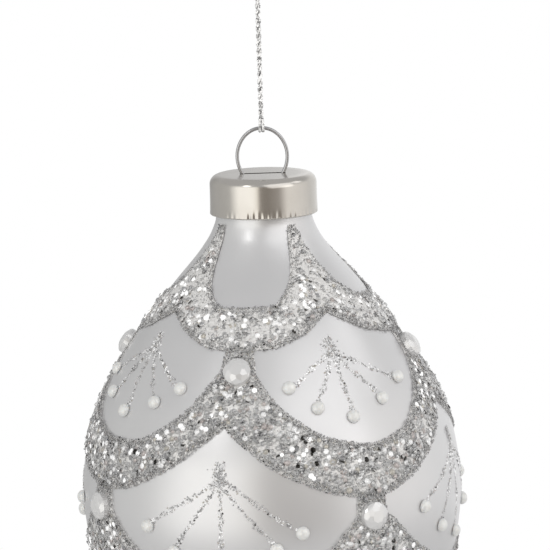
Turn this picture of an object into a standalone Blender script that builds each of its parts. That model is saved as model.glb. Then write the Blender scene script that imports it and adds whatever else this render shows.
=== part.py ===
"""A blown-glass icicle ornament on its metallic cord, in metres with +Z up.

The origin is the inside of the cord's top loop, where a hook or a twig carries the ornament. All the rest
hangs straight below it, with +X to the right and -Y to the front. Heights on the glass are given as depths
below the top of the metal cap, and angles are measured from the front, positive to the right.
"""

import math
from bisect import bisect_right

import bmesh
import bpy
from mathutils import Matrix, Vector

# Fits
CLEARANCE = 0.0003  # between pieces that touch
SKIN_GAP = 0.0005  # under glitter and sprigs, whose flat facets dip towards the round glass

# Cord: a thin metallic thread, doubled and twisted between the ring and the knot
THREAD_RADIUS = 0.0003
CORD_RADIUS = 0.00058
KNOT_RADIUS = 0.0014
BIGHT_RADIUS = 0.00105  # of the turn round the ring, to the middle of its thread
EYE_ROUTE = (
    (-0.0005, -0.0270),
    (-0.0018, -0.0232),
    (-0.0040, -0.0180),
    (-0.0060, -0.0120),
    (-0.0066, -0.0070),
    (-0.0054, -0.0027),
    (-0.0029, -0.0004),
    (0.0000, 0.0003),
    (0.0029, -0.0004),
    (0.0054, -0.0027),
    (0.0066, -0.0070),
    (0.0060, -0.0120),
    (0.0040, -0.0180),
    (0.0018, -0.0232),
    (0.0005, -0.0270),
)
CORD_DROPS = (0.0, 0.0060, 0.0120, 0.0180, 0.0240, 0.0290)

# Wire hanger: a ring whose two ends run through the cap and spring apart in the neck
WIRE_RADIUS = 0.0004
RING_HALF_WIDTH = 0.0056
RING_HALF_HEIGHT = 0.0064
RING_RISE = 0.0102  # from the cap to the middle of the wire at the ring's top
LEG_LENGTH = 0.0210  # below the top of the cap
LEG_BEND_DEPTH = 0.0018  # where a leg turns outwards

# Cap
CAP_HEIGHT = 0.0088
CAP_WALL = 0.0006
CAP_ROOM = 0.0006  # round the neck
CAP_EDGE_RADIUS = 0.0020
CAP_FLARE = 0.00015
CAP_FLARE_HEIGHT = 0.0012
SLOT_END_ROOM = 0.0004

# Glass
NECK_RADIUS = 0.0108
NECK_SHOW = 0.0007  # of straight neck below the cap
GLASS_WALL = 0.0009
BODY_RADIUS = 0.0430
WIDEST_DEPTH = 0.0715
TIP_DEPTH = 0.2250  # to the middle of the ball that ends the tip
TIP_RADIUS = 0.0030
# The outline as shares: of the way from the neck down to the widest ring, then from there to the tip
SHOULDER_SHAPE = ((0.0, 0.0), (0.05, 0.03), (0.11, 0.10), (0.25, 0.325), (0.42, 0.575), (0.65, 0.84), (0.82, 0.96))
TAPER_SHAPE = ((0.0, 1.0), (0.12, 0.945), (0.2, 0.895), (0.32, 0.78), (0.46, 0.61), (0.62, 0.41), (0.8, 0.2), (1.0, 0.0))

# Glitter garlands: four scallops to a row, each row turned half a scallop from the one above
SCALLOPS = 4
FIRST_SCALLOP_ANGLE = math.radians(-12.0)
ROW_DRIFT = math.radians(-3.0)  # how far round the second and lower rows run past their even place
BAND_BOTTOMS = (0.0353, 0.0660, 0.0965, 0.1235, 0.1475, 0.1685)
BAND_DEPTHS = (0.0084, 0.0113, 0.0110, 0.0100, 0.0090, 0.0080)
VALLEY_RISES = (0.0070, 0.0162, 0.0150, 0.0130, 0.0115, 0.0100)
GLITTER_THICKNESS = 0.0005
TOP_POINT_DEPTH = 0.0105
TOP_POINT_SIDE = 0.0014  # how far below its point a top peak reaches its full width
TOP_POINT_HALF_WIDTH = 0.0013
STEM_HALF_WIDTH = 0.0039
UPPER_EDGE_POWERS = (3.2, 2.2)  # of the first row, and of the others
LOWER_EDGE_POWER = 1.7

# Gems: one on each peak of the second and lower rows
GEM_RADIUS = 0.0030
GEM_TABLE_RADIUS = 0.0018
GEM_GIRDLE = 0.0005
GEM_HEIGHT = 0.0021
GEM_DROP = 0.0039  # below the band above, to the gem's middle

# Sprigs: five glitter rays with a pearl on the end of each
SPRIG_DROPS = (0.0077, 0.0108, 0.0092, 0.0080)
SPRIG_LENGTHS = (0.0152, 0.0195, 0.0158, 0.0134)
RAY_ANGLES = tuple(math.radians(angle) for angle in (-60.0, -35.0, 0.0, 35.0, 60.0))
SIDE_RAY_SHARES = (1.06, 0.98, 1.0, 0.98, 1.06)
RAY_HALF_WIDTH = 0.00045
HUB_RADIUS = 0.0021
PEARL_RADIUS = 0.0015
PEARL_HEIGHT = 0.0019

# Facets
GLASS_SIDES = 36
CAP_SIDES = 40
GEM_SIDES = 10
PEARL_SIDES = 7
BAND_LAYERS = 3

# Heights that follow from the sizes above
KNOT_Z = EYE_ROUTE[0][1] - CLEARANCE - KNOT_RADIUS
CORD_TOP = KNOT_Z - KNOT_RADIUS - CLEARANCE
CORD_BOTTOM = CORD_TOP - CORD_DROPS[-1]
RING_TOP = CORD_BOTTOM - CLEARANCE - BIGHT_RADIUS - THREAD_RADIUS
CAP_TOP = RING_TOP - RING_RISE
CAP_RADIUS = NECK_RADIUS + CAP_ROOM + CAP_WALL
NECK_DEPTH = CAP_HEIGHT + NECK_SHOW
RIM_DEPTH = CAP_WALL + CLEARANCE
HALF_PITCH = math.pi / SCALLOPS


def smooth_curve(points, steps):
    """Points along a Catmull-Rom curve through the given ones, with this many steps to each span."""
    points = [Vector(point) for point in points]
    ends = [2 * points[0] - points[1], *points, 2 * points[-1] - points[-2]]
    route = []
    for before, start, end, after in zip(ends, ends[1:], ends[2:], ends[3:]):
        for step in range(steps):
            t = step / steps
            route.append(
                0.5
                * (
                    2 * start
                    + (end - before) * t
                    + (2 * before - 5 * start + 4 * end - after) * t**2
                    + (3 * start - before - 3 * end + after) * t**3
                )
            )
    return [*route, points[-1]]


def outline_points():
    """The glass outline as (depth, radius), from the foot of the neck to the middle of the tip's ball."""
    drop = WIDEST_DEPTH - NECK_DEPTH
    swell = BODY_RADIUS - NECK_RADIUS
    points = [(NECK_DEPTH + down * drop, NECK_RADIUS + out * swell) for down, out in SHOULDER_SHAPE]
    fall = TIP_DEPTH - WIDEST_DEPTH
    shrink = BODY_RADIUS - TIP_RADIUS
    return points + [(WIDEST_DEPTH + down * fall, TIP_RADIUS + out * shrink) for down, out in TAPER_SHAPE]


OUTLINE = outline_points()


def outline_slopes():
    """The slope at each outline point, chosen so that the curve between them never overshoots."""
    steps = [(r1 - r0) / (d1 - d0) for (d0, r0), (d1, r1) in zip(OUTLINE, OUTLINE[1:])]
    inner = [2 * a * b / (a + b) if a * b > 0 else 0.0 for a, b in zip(steps, steps[1:])]
    return [0.0, *inner, steps[-1]]


SLOPES = outline_slopes()


def glass_radius(depth):
    """The outer radius of the glass at a depth below the top of the cap."""
    if depth <= OUTLINE[0][0]:
        return NECK_RADIUS
    if depth >= TIP_DEPTH:
        return math.sqrt(max(TIP_RADIUS**2 - (depth - TIP_DEPTH) ** 2, 0.0))
    span = bisect_right(OUTLINE, (depth, math.inf)) - 1
    (start, first), (end, last) = OUTLINE[span : span + 2]
    width = end - start
    t = (depth - start) / width
    return (
        first * (1 + 2 * t) * (1 - t) ** 2
        + SLOPES[span] * width * t * (1 - t) ** 2
        + last * t * t * (3 - 2 * t)
        + SLOPES[span + 1] * width * t * t * (t - 1)
    )


def glass_normal(depth):
    """The outward direction of the glass surface at a depth, as (out, up)."""
    step = 0.0001
    rise = (glass_radius(depth + step) - glass_radius(depth - step)) / (2 * step)
    length = math.hypot(1.0, rise)
    return 1.0 / length, rise / length


def on_glass(angle, depth, lift):
    """The point this far off the outside of the glass."""
    out, up = glass_normal(depth)
    radius = glass_radius(depth) + out * lift
    return Vector((radius * math.sin(angle), -radius * math.cos(angle), CAP_TOP - depth + up * lift))


def material(name, colour, roughness, metallic=0.0):
    made = bpy.data.materials.new(name)
    made.use_nodes = True
    shader = made.node_tree.nodes["Principled BSDF"]
    shader.inputs["Base Color"].default_value = (*colour, 1.0)
    shader.inputs["Roughness"].default_value = roughness
    shader.inputs["Metallic"].default_value = metallic
    return made


def joint_axis(name, height, parent=None):
    """An empty on the object's axis, which carries the pieces that move together."""
    axis = bpy.data.objects.new(name, None)
    bpy.context.scene.collection.objects.link(axis)
    axis.location.z = height - (parent["height"] if parent else 0.0)
    axis.parent = parent
    axis["height"] = height
    return axis


def carried(data, name, look, axis):
    """Makes the named piece from a mesh or a curve in world coordinates, with its origin on its axis."""
    data.transform(Matrix.Translation((0.0, 0.0, -axis["height"])))
    data.materials.append(look)
    piece = bpy.data.objects.new(name, data)
    bpy.context.scene.collection.objects.link(piece)
    piece.parent = axis
    return piece


def finished_mesh(shape, name, smooth_under=math.radians(35.0)):
    bmesh.ops.recalc_face_normals(shape, faces=shape.faces)
    mesh = bpy.data.meshes.new(name)
    shape.to_mesh(mesh)
    shape.free()
    mesh.shade_smooth()
    mesh.set_sharp_from_angle(angle=smooth_under)
    return mesh


def tube(route, radius, name):
    """A round wire or thread along a route of points, with closed ends."""
    curve = bpy.data.curves.new(name, "CURVE")
    curve.dimensions = "3D"
    curve.bevel_depth = radius
    curve.bevel_resolution = 2
    curve.use_fill_caps = True
    spline = curve.splines.new("POLY")
    spline.points.add(len(route) - 1)
    for point, place in zip(spline.points, route):
        point.co = (*place, 1.0)
    return curve


def turned(profile, sides, name):
    """A closed solid turned about the Z axis from (radius, height) points. Points at radius 0 are its poles."""
    shape = bmesh.new()
    rings = []
    for radius, height in profile:
        if radius == 0.0:
            rings.append([shape.verts.new((0.0, 0.0, height))])
            continue
        angles = [2 * math.pi * side / sides for side in range(sides)]
        rings.append([shape.verts.new((radius * math.sin(a), -radius * math.cos(a), height)) for a in angles])
    closed = profile[0][0] != 0.0
    for upper, lower in zip(rings, rings[1:] + rings[:1] if closed else rings[1:]):
        for side in range(sides):
            after = (side + 1) % sides
            corners = [upper[side % len(upper)], lower[side % len(lower)]]
            corners += [lower[after % len(lower)], upper[after % len(upper)]]
            shape.faces.new(list(dict.fromkeys(corners)))
    return finished_mesh(shape, name)


def make_cord(eye_axis, knot_axis, swing_axis):
    silver = material("silver_thread", (0.62, 0.62, 0.63), 0.35, 0.9)
    eye = smooth_curve([(x, 0.0, z) for x, z in EYE_ROUTE], 2)
    carried(tube(eye, THREAD_RADIUS, "cord_eye"), "cord_eye", silver, eye_axis)

    shape = bmesh.new()
    bmesh.ops.create_uvsphere(shape, u_segments=12, v_segments=8, radius=KNOT_RADIUS)
    shape.transform(Matrix.Translation((0.0, 0.0, KNOT_Z)))
    carried(finished_mesh(shape, "cord_knot"), "cord_knot", silver.copy(), knot_axis)

    cord = smooth_curve([(0.0, 0.0, CORD_TOP - drop) for drop in CORD_DROPS], 2)
    carried(tube(cord, CORD_RADIUS, "hanging_cord"), "hanging_cord", silver.copy(), swing_axis)

    section = []
    for step in range(6):
        angle = 2 * math.pi * step / 6
        section.append((BIGHT_RADIUS + THREAD_RADIUS * math.cos(angle), THREAD_RADIUS * math.sin(angle)))
    bight = turned(section, 12, "cord_bight")
    bight.transform(Matrix.Translation((0.0, 0.0, RING_TOP)) @ Matrix.Rotation(math.pi / 2, 4, "Y"))
    carried(bight, "cord_bight", silver.copy(), swing_axis)


def ring_point(angle):
    """A point on the hanger's oval ring, at an angle from its top."""
    middle = RING_TOP - RING_HALF_HEIGHT
    return Vector((RING_HALF_WIDTH * math.sin(angle), 0.0, middle + RING_HALF_HEIGHT * math.cos(angle)))


def foot_angle():
    """The angle from the ring's top at which the wire meets the top of the cap."""
    return math.acos((RING_HALF_HEIGHT - RING_RISE) / RING_HALF_HEIGHT)


def leg_route():
    """The right leg's own points, from the cap down: through the slot, out to the neck's bore, then along it."""
    foot = ring_point(foot_angle()).x
    reach = NECK_RADIUS - GLASS_WALL - CLEARANCE - WIRE_RADIUS
    spread = reach - foot
    length = LEG_LENGTH - LEG_BEND_DEPTH
    shape = ((0.0, 0.0), (0.13, 0.12), (0.32, 0.62), (0.52, 0.95), (0.74, 1.0), (0.9, 0.93), (1.0, 0.75))
    return [Vector((foot + out * spread, 0.0, CAP_TOP - LEG_BEND_DEPTH - down * length)) for down, out in shape]


def make_hanger(axis):
    steel = material("spring_wire", (0.55, 0.54, 0.53), 0.22, 1.0)
    foot = foot_angle()
    steps = 24
    ring = [ring_point(foot * (step / steps * 2 - 1)) for step in range(steps + 1)]
    leg = smooth_curve([ring[-1], *leg_route()], 3)[1:]
    other_leg = [Vector((-point.x, point.y, point.z)) for point in reversed(leg)]
    wire = tube([*other_leg, *ring, *leg], WIRE_RADIUS, "wire_hanger")
    carried(wire, "wire_hanger", steel, axis)


def make_cap(axis):
    nickel = material("champagne_nickel", (0.62, 0.58, 0.53), 0.2, 1.0)
    skirt = CAP_TOP - CAP_HEIGHT
    outer = [(0.0, CAP_TOP)]
    inner = [(0.0, CAP_TOP - CAP_WALL)]
    for step in range(4):
        angle = math.pi / 2 * step / 3
        centre = CAP_RADIUS - CAP_EDGE_RADIUS
        for line, radius in ((outer, CAP_EDGE_RADIUS), (inner, CAP_EDGE_RADIUS - CAP_WALL)):
            line.append((centre + radius * math.sin(angle), CAP_TOP - CAP_EDGE_RADIUS + radius * math.cos(angle)))
    for line, wall in ((outer, 0.0), (inner, CAP_WALL)):
        line.append((CAP_RADIUS - wall, skirt + CAP_FLARE_HEIGHT))
        line.append((CAP_RADIUS + CAP_FLARE - wall, skirt))
    cap = carried(turned(outer + inner[::-1], CAP_SIDES, "cap"), "cap", nickel, axis)

    shape = bmesh.new()
    bmesh.ops.create_cube(shape, size=1.0)
    foot = ring_point(foot_angle()).x
    slot_length = 2 * (foot + WIRE_RADIUS + SLOT_END_ROOM)
    slot_width = 2 * (WIRE_RADIUS + CLEARANCE)
    place = Matrix.Translation((0.0, 0.0, CAP_TOP - CAP_WALL / 2))
    shape.transform(place @ Matrix.Diagonal((slot_length, slot_width, 3 * CAP_WALL, 1.0)))
    cutter = carried(finished_mesh(shape, "slot_cutter"), "slot_cutter", nickel, axis)
    cutter.hide_render = True
    cutter.display_type = "WIRE"
    cut = cap.modifiers.new("slot", "BOOLEAN")
    cut.operation = "DIFFERENCE"
    cut.object = cutter


def glass_depths():
    """The depths of the rings that the glass is turned through, close together where it curves most."""
    swell = WIDEST_DEPTH - NECK_DEPTH
    shoulder = [NECK_DEPTH + share * swell for share in (0.0, 0.05, 0.11, 0.18, 0.26, 0.38, 0.52, 0.68, 0.84, 1.0)]
    taper = [WIDEST_DEPTH + (TIP_DEPTH - WIDEST_DEPTH) * step / 10 for step in range(1, 11)]
    return shoulder + taper


def make_glass(axis):
    pearl = material("satin_pearl_glass", (0.78, 0.78, 0.79), 0.35, 0.0)
    depths = glass_depths()
    outer = [(NECK_RADIUS, CAP_TOP - RIM_DEPTH)]
    outer += [(glass_radius(depth), CAP_TOP - depth) for depth in depths]
    for angle in (math.radians(30.0), math.radians(60.0)):
        outer.append((TIP_RADIUS * math.cos(angle), CAP_TOP - TIP_DEPTH - TIP_RADIUS * math.sin(angle)))
    outer.append((0.0, CAP_TOP - TIP_DEPTH - TIP_RADIUS))
    inner = []
    for depth in depths:
        place = on_glass(math.pi / 2, depth, -GLASS_WALL)
        if place.x > GLASS_WALL:
            inner.append((place.x, place.z))
    inner.append((0.0, inner[-1][1] - GLASS_WALL))
    rim = (NECK_RADIUS - GLASS_WALL, CAP_TOP - RIM_DEPTH)
    profile = [*inner[::-1], rim, *outer]
    carried(turned(profile, GLASS_SIDES, "glass_body"), "glass_body", pearl, axis)


def row_angle(row):
    """The angle of the bottom of the first scallop of a row."""
    return FIRST_SCALLOP_ANGLE + (ROW_DRIFT if row else 0.0) + row % 2 * HALF_PITCH


def crown_angle(row):
    """The angle half way between two peaks of a row, whose peaks meet the bottoms of the row above."""
    return FIRST_SCALLOP_ANGLE + (ROW_DRIFT if row > 1 else 0.0) + row % 2 * HALF_PITCH


def lower_edge(row, angle):
    away = abs((angle - row_angle(row) + HALF_PITCH) % (2 * HALF_PITCH) - HALF_PITCH)
    return BAND_BOTTOMS[row] - VALLEY_RISES[row] * (away / HALF_PITCH) ** LOWER_EDGE_POWER


def band_columns(row):
    """(angle from half way between two peaks, upper depth) from there to the peak, with the place of the valley."""
    panel_bottom = BAND_BOTTOMS[row] - BAND_DEPTHS[row]
    if row == 0:
        top = TOP_POINT_DEPTH
        side = top + TOP_POINT_SIDE
        half_width = TOP_POINT_HALF_WIDTH
    else:
        top = BAND_BOTTOMS[row - 1] + CLEARANCE
        side = BAND_BOTTOMS[row - 1] + GEM_DROP
        half_width = STEM_HALF_WIDTH
    power = UPPER_EDGE_POWERS[min(row, 1)]
    stem = HALF_PITCH - half_width / glass_radius(side)
    corner = stem + 0.15 * (HALF_PITCH - stem)
    columns = []
    for share in (0.0, 0.26, 0.5, 0.7, 0.87, 1.0):
        columns.append((share * stem, panel_bottom - (panel_bottom - side) * share**power))
    return columns + [(corner, top), (HALF_PITCH, top)]


def make_band(row, axis, look):
    half = band_columns(row)
    across = [(-angle, upper) for angle, upper in half[:0:-1]] + half[:-1]
    valley = row_angle(row) - crown_angle(row)
    if valley:
        across.append((HALF_PITCH + valley, half[-1][1]))
    columns = []
    for scallop in range(SCALLOPS):
        middle = crown_angle(row) + scallop * 2 * HALF_PITCH
        columns += [(middle + angle, upper, lower_edge(row, middle + angle)) for angle, upper in sorted(across)]
    shape = bmesh.new()
    loops = []
    for angle, upper, lower in columns:
        depths = [upper + (lower - upper) * layer / BAND_LAYERS for layer in range(BAND_LAYERS + 1)]
        outer = [on_glass(angle, depth, SKIN_GAP + GLITTER_THICKNESS) for depth in depths]
        inner = [on_glass(angle, depth, SKIN_GAP) for depth in reversed(depths)]
        loops.append([shape.verts.new(place) for place in outer + inner])
    for here, after in zip(loops, loops[1:] + loops[:1]):
        for corner, point in enumerate(here):
            following = (corner + 1) % len(here)
            shape.faces.new((point, here[following], after[following], after[corner]))
    name = f"glitter_band_{row + 1}"
    carried(finished_mesh(shape, name, math.radians(50.0)), name, look.copy(), axis)


def make_gem(row, place, axis, look):
    """A flat-backed faceted stone, seated on the glitter of one peak."""
    angle = crown_angle(row) + (2 * place + 1) * HALF_PITCH
    depth = BAND_BOTTOMS[row - 1] + GEM_DROP
    out, up = glass_normal(depth)
    normal = Vector((out * math.sin(angle), -out * math.cos(angle), up))
    seat = on_glass(angle, depth, SKIN_GAP + GLITTER_THICKNESS + CLEARANCE)
    stone = turned(
        (
            (0.0, 0.0),
            (GEM_RADIUS, 0.0),
            (GEM_RADIUS, GEM_GIRDLE),
            (GEM_TABLE_RADIUS, GEM_HEIGHT),
            (0.0, GEM_HEIGHT),
        ),
        GEM_SIDES,
        "gem",
    )
    stone.transform(Matrix.Translation(seat) @ normal.to_track_quat("Z", "Y").to_matrix().to_4x4())
    stone.set_sharp_from_angle(angle=math.radians(15.0))
    carried(stone, f"gem_{row + 1}_{place + 1}", look.copy(), axis)


def depth_along(start, distance):
    """The depth reached by going this far down along the glass surface."""
    steps = 20
    depth = start
    for _ in range(steps):
        depth += distance / steps * glass_normal(depth)[0]
    return depth


def make_sprig(row, place, axis, look):
    """Five rays that fan down from a hub, each ending in a domed pearl, as one thin piece that follows the glass."""
    middle = row_angle(row) + (2 * place + 1) * HALF_PITCH
    hub_depth = BAND_BOTTOMS[row] - VALLEY_RISES[row] + SPRIG_DROPS[row]
    thin = SKIN_GAP + GLITTER_THICKNESS

    def drape(across, down, lift):
        depth = depth_along(hub_depth, down)
        return on_glass(middle + across / glass_radius(depth), depth, lift)

    shape = bmesh.new()

    def pair(across, down):
        """The upper and the lower vertex at one point of the outline."""
        return shape.verts.new(drape(across, down, thin)), shape.verts.new(drape(across, down, SKIN_GAP))

    def sheet(ring):
        shape.faces.new([upper for upper, _ in ring])
        shape.faces.new([lower for _, lower in reversed(ring)])

    def wall(start, end):
        shape.faces.new((start[0], start[1], end[1], end[0]))

    spread = math.asin(RAY_HALF_WIDTH / HUB_RADIUS)
    hub = []
    for angle, share in zip(RAY_ANGLES, SIDE_RAY_SHARES):
        along = Vector((math.sin(angle), math.cos(angle)))
        side = Vector((-along.y, along.x)) * RAY_HALF_WIDTH
        length = SPRIG_LENGTHS[row] * share
        near = [pair(*(HUB_RADIUS * Vector((math.sin(a), math.cos(a))))) for a in (angle - spread, angle + spread)]
        half_way = [pair(*(along * (HUB_RADIUS + length) / 2 + turn * side)) for turn in (1, -1)]
        mouth = math.asin(RAY_HALF_WIDTH / PEARL_RADIUS)
        rim = []
        for step in range(PEARL_SIDES):
            turn = mouth + (2 * math.pi - 2 * mouth) * step / (PEARL_SIDES - 1)
            rim.append(-math.cos(turn) * along + math.sin(turn) * side.normalized())
        centre = along * length
        pearl = [pair(*(centre + PEARL_RADIUS * way)) for way in rim]
        crown = [shape.verts.new(drape(*(centre + 0.62 * PEARL_RADIUS * way), SKIN_GAP + PEARL_HEIGHT)) for way in rim]
        sheet([near[0], near[1], half_way[1], half_way[0]])
        sheet([half_way[0], half_way[1], pearl[-1], pearl[0]])
        for turn, last in ((0, 0), (1, -1)):
            wall(near[turn], half_way[turn])
            wall(half_way[turn], pearl[last])
        for step in range(PEARL_SIDES - 1):
            wall(pearl[step], pearl[step + 1])
        shape.faces.new([lower for _, lower in pearl])
        shape.faces.new(crown)
        for step in range(PEARL_SIDES):
            after = (step + 1) % PEARL_SIDES
            shape.faces.new((pearl[step][0], pearl[after][0], crown[after], crown[step]))
        hub.append(near)
    back = []
    last = RAY_ANGLES[-1] + spread
    for step in (1, 2, 3):
        angle = last + (2 * math.pi - 2 * last) * step / 4
        back.append(pair(*(HUB_RADIUS * Vector((math.sin(angle), math.cos(angle))))))
    sheet([corner for near in hub for corner in near] + back)
    for here, after in zip(hub, hub[1:]):
        wall(here[1], after[0])
    around = [hub[-1][1], *back, hub[0][0]]
    for here, after in zip(around, around[1:]):
        wall(here, after)
    name = f"sprig_{row + 1}_{place + 1}"
    carried(finished_mesh(shape, name, math.radians(50.0)), name, look.copy(), axis)


def main():
    for thing in list(bpy.data.objects):
        bpy.data.objects.remove(thing)
    eye_axis = joint_axis("hanging_point", 0.0)
    knot_axis = joint_axis("cord_twist_axis", KNOT_Z, eye_axis)
    swing_axis = joint_axis("cord_swing_axis", CORD_TOP, knot_axis)
    ring_axis = joint_axis("ring_swing_axis", RING_TOP, swing_axis)
    glass_axis = joint_axis("glass_slide_axis", CAP_TOP - RIM_DEPTH, ring_axis)
    make_cord(eye_axis, knot_axis, swing_axis)
    make_hanger(ring_axis)
    make_cap(ring_axis)
    make_glass(glass_axis)
    glitter = material("silver_glitter", (0.55, 0.55, 0.56), 0.4, 0.7)
    crystal = material("clear_stone", (0.8, 0.82, 0.84), 0.05, 0.3)
    for row in range(len(BAND_BOTTOMS)):
        make_band(row, glass_axis, glitter)
    for place in range(SCALLOPS):
        for row in range(1, len(BAND_BOTTOMS)):
            make_gem(row, place, glass_axis, crystal)
        for row in range(len(SPRIG_DROPS)):
            make_sprig(row, place, glass_axis, glitter)
    bpy.context.view_layer.update()


main()
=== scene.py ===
"""A blown-glass icicle ornament, dressed with glitter, stones and pearls, hanging on its silver cord.

Sections follow the ornament as it is put together: the glass drop, its glitter garlands, stones and sprigs,
then the cap, the wire hanger and the cord, and last the studio. Heights on the glass are depths below the top
of the cap, and angles run from the front, positive to the right.
"""

import math

import bmesh
import bpy
import numpy as np
from mathutils import Matrix, Vector, kdtree


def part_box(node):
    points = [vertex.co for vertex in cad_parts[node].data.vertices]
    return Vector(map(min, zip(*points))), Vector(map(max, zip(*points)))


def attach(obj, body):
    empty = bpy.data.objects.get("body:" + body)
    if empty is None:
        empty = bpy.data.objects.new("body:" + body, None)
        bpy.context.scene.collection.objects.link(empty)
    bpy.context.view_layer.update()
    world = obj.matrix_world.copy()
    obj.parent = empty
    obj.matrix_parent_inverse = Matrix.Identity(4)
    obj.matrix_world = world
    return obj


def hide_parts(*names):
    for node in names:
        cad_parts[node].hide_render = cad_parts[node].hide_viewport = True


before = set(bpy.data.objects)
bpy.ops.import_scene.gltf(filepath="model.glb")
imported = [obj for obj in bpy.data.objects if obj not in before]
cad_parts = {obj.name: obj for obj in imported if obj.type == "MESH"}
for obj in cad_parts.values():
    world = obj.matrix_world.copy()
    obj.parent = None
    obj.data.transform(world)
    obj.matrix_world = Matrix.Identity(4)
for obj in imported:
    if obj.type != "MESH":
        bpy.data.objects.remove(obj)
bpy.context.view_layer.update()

# --------------------------------------------------------------------------------
# The drop. One bubble of glass, blown into a long taper with a straight open neck, silvered faintly inside
# and sprayed outside with a satin pearl lacquer.

CAP_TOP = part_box("cap")[1].z
CAP_HEIGHT = CAP_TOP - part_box("cap")[0].z
BODY_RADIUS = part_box("glass_body")[1].x
RIM_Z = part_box("glass_body")[1].z
TIP_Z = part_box("glass_body")[0].z
NECK_RADIUS = 0.0108
NECK_DEPTH = CAP_HEIGHT + 0.0007
GLASS_WALL = 0.0009
WIDEST_DEPTH = 0.0715
TIP_RADIUS = 0.0030
TIP_DEPTH = CAP_TOP - TIP_Z - TIP_RADIUS
RIM_ROUND = 0.0004
SHOULDER_SHAPE = ((0.0, 0.0), (0.05, 0.03), (0.11, 0.10), (0.25, 0.325))
SHOULDER_SHAPE += ((0.42, 0.575), (0.65, 0.84), (0.82, 0.96))
TAPER_SHAPE = ((0.0, 1.0), (0.12, 0.945), (0.2, 0.895), (0.32, 0.78))
TAPER_SHAPE += ((0.46, 0.61), (0.62, 0.41), (0.8, 0.2), (1.0, 0.0))
LACQUER = (0.735, 0.735, 0.745)
LACQUER_SHADE = (0.70, 0.70, 0.712)


def glass_outline():
    """Depths and outer radii of the drop, every quarter of a millimetre along a smooth curve."""
    shoulder = WIDEST_DEPTH - NECK_DEPTH
    swell = BODY_RADIUS - NECK_RADIUS
    taper = TIP_DEPTH - WIDEST_DEPTH
    shrink = BODY_RADIUS - TIP_RADIUS
    points = [(NECK_DEPTH + down * shoulder, NECK_RADIUS + out * swell) for down, out in SHOULDER_SHAPE]
    points += [(WIDEST_DEPTH + down * taper, TIP_RADIUS + out * shrink) for down, out in TAPER_SHAPE]
    knots, radii = np.array(points).T
    steps = np.diff(radii) / np.diff(knots)
    product = steps[:-1] * steps[1:]
    total = steps[:-1] + steps[1:]
    inner = np.where(product > 0, 2 * product / np.where(total == 0, 1, total), 0)
    slopes = np.concatenate(([0.0], inner, steps[-1:]))
    depths = np.arange(NECK_DEPTH, TIP_DEPTH, 0.00025)
    span = np.clip(np.searchsorted(knots, depths, side="right") - 1, 0, len(knots) - 2)
    width = knots[span + 1] - knots[span]
    t = (depths - knots[span]) / width
    smooth = radii[span] * (1 + 2 * t) * (1 - t) ** 2 + slopes[span] * width * t * (1 - t) ** 2
    smooth += radii[span + 1] * t * t * (3 - 2 * t) + slopes[span + 1] * width * t * t * (t - 1)
    return depths, smooth


OUTLINE_DEPTHS, OUTLINE_RADII = glass_outline()
OUTLINE_RISES = np.gradient(OUTLINE_RADII, OUTLINE_DEPTHS)


def radius_at(depth):
    return np.interp(depth, OUTLINE_DEPTHS, OUTLINE_RADII)


def on_glass(angle, depth, lift=0.0):
    """(points, outward normals) this far off the outside of the glass, for arrays of angles and depths."""
    angle, depth, lift = np.broadcast_arrays(angle, depth, lift)
    rise = np.interp(depth, OUTLINE_DEPTHS, OUTLINE_RISES)
    out = 1 / np.hypot(1, rise)
    normal = np.stack([out * np.sin(angle), -out * np.cos(angle), rise * out], -1)
    radius = radius_at(depth)
    wall = np.stack([radius * np.sin(angle), -radius * np.cos(angle), CAP_TOP - depth], -1)
    return wall + normal * lift[..., None], normal


def deselect():
    bpy.ops.object.select_all(action="DESELECT")


def take(piece):
    """Makes a piece the only one selected."""
    deselect()
    piece.select_set(True)
    bpy.context.view_layer.objects.active = piece


def open_edit(piece):
    """Opens a piece for editing with everything on it selected."""
    take(piece)
    bpy.ops.object.mode_set(mode="EDIT")
    bpy.ops.mesh.select_all(action="SELECT")


def close_edit(merge):
    """Merges points this close on the piece being edited, turns its faces outward and puts it down."""
    bpy.ops.mesh.select_all(action="SELECT")
    bpy.ops.mesh.remove_doubles(threshold=merge)
    bpy.ops.mesh.normals_make_consistent(inside=False)
    bpy.ops.object.mode_set(mode="OBJECT")


def turn(name, profile, steps):
    """A piece turned about the ornament's axis from (radius, height) points, as on a lathe."""
    deselect()
    bpy.ops.mesh.primitive_plane_add(size=0.001)
    piece = bpy.context.object
    piece.name = name
    bpy.ops.object.mode_set(mode="EDIT")
    bpy.ops.mesh.merge(type="CENTER")
    here = (0.0, 0.0)
    for place, (radius, height) in enumerate(profile):
        move = (radius - here[0], 0.0, height - here[1])
        if place:
            bpy.ops.mesh.extrude_region_move(TRANSFORM_OT_translate={"value": move})
        else:
            bpy.ops.transform.translate(value=move)
        here = (radius, height)
    bpy.ops.mesh.select_all(action="SELECT")
    bpy.ops.mesh.spin(steps=steps, angle=2 * math.pi, center=(0, 0, 0), axis=(0, 0, 1))
    close_edit(2e-6)
    return piece


def smooth_shade(piece, angle=35.0):
    take(piece)
    bpy.ops.object.shade_smooth_by_angle(angle=math.radians(angle))


def set_sockets(node, values):
    for socket, value in values.items():
        node.inputs[socket.replace("_", " ")].default_value = value


def adder(tree):
    """A function that adds a node, linked from (output, socket) pairs, with the given socket values."""

    def add(kind, *feeds, **values):
        node = tree.nodes.new("ShaderNode" + kind)
        set_sockets(node, values)
        for output, socket in feeds:
            tree.links.new(output, node.inputs[socket])
        return node

    return add


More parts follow.
